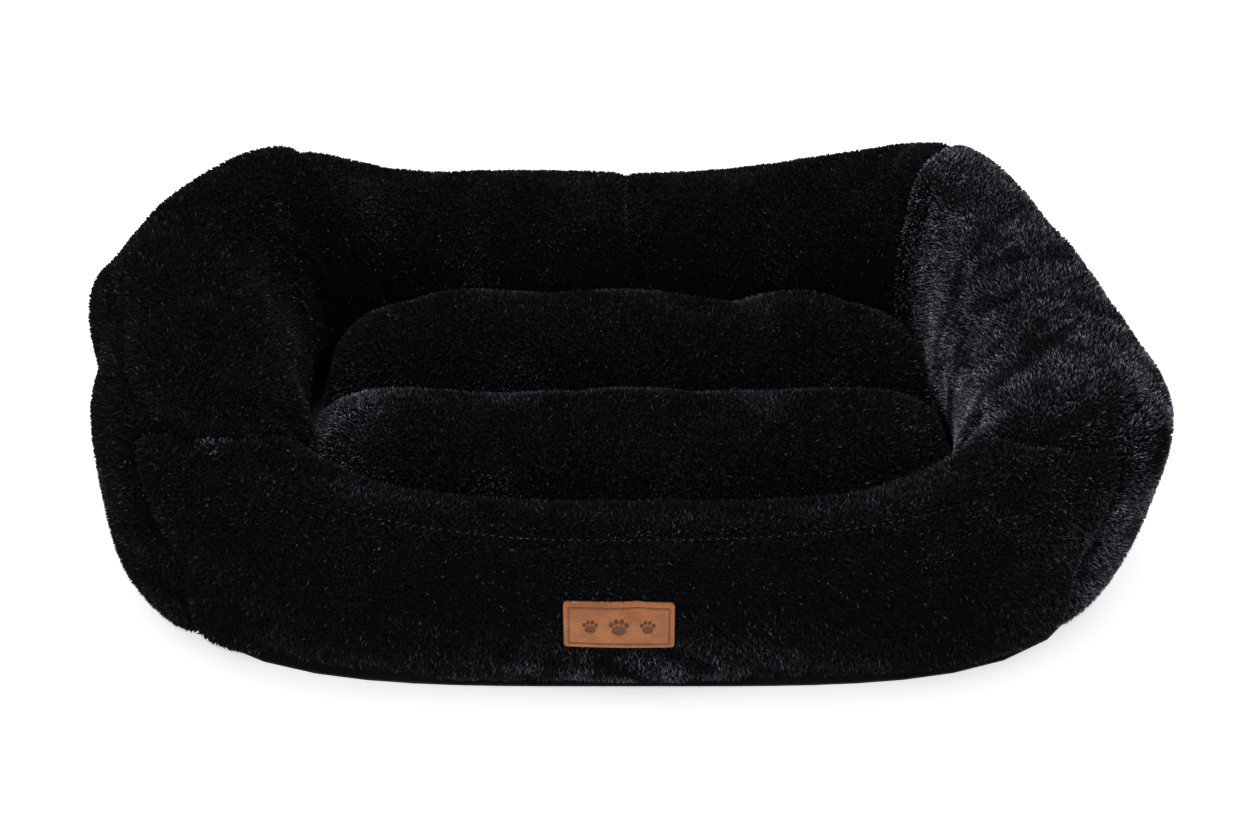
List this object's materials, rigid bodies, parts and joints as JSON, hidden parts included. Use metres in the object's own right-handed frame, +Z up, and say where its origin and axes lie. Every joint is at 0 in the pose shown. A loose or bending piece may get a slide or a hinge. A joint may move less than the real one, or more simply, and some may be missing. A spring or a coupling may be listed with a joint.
{
  "type": "pet cushion bed",
  "caption": "Low-fronted pet bed: stuffed plush bolsters in a ring around a loose channel-sewn cushion that lifts out, on a non-slip base.",
  "frame": {"origin": "middle of the bed's outline, on the surface that it stands on", "axes": "+Z up, -Y towards the low front with the leather patch, +X to the right seen from the front"},
  "size_m": [0.7079, 0.5045, 0.171],
  "materials": {
    "plush": "dense short black faux-fur plush, soft sheen where the pile turns",
    "base_cloth": "matt black woven polyester with non-slip dots",
    "fibre": "loose white polyester fibre",
    "patch_leather": "tan embossed leather, satin",
    "zip_tape": "woven black zip tape with nylon coil",
    "zip_metal": "black lacquered zinc"
  },
  "bodies": {
    "bed": {"base_sheet": "base_cloth", "base_wadding": "fibre", "floor_panel": "plush", "front_bolster_fill": "fibre", "rear_bolster_fill": "fibre", "left_bolster_fill": "fibre", "right_bolster_fill": "fibre", "front_outer_panel": "plush", "rear_outer_panel": "plush", "left_outer_panel": "plush", "right_outer_panel": "plush", "front_inner_panel": "plush", "left_inner_panel": "plush", "right_inner_panel": "plush", "rear_inner_panel_left": "plush", "rear_inner_panel_right": "plush", "front_left_baffle": "base_cloth", "front_right_baffle": "base_cloth", "rear_left_baffle": "base_cloth", "rear_right_baffle": "base_cloth", "leather_patch": "patch_leather"},
    "cushion": {"cushion_top_cover": "plush", "cushion_under_cover": "plush", "cushion_fill_front": "fibre", "cushion_fill_rear": "fibre", "zip_tape_upper": "zip_tape", "zip_tape_lower": "zip_tape"},
    "zip_slider": {"zip_slider": "zip_metal"}
  },
  "joints": [
    {"name": "cushion_lift", "type": "slide", "parent": "bed", "child": "cushion", "axis": [0, 0, 1], "range_m": [0, 0.25]},
    {"name": "zip_travel", "type": "slide", "parent": "cushion", "child": "zip_slider", "axis": [1, 0, 0], "range_m": [0, 0.22]}
  ]
}
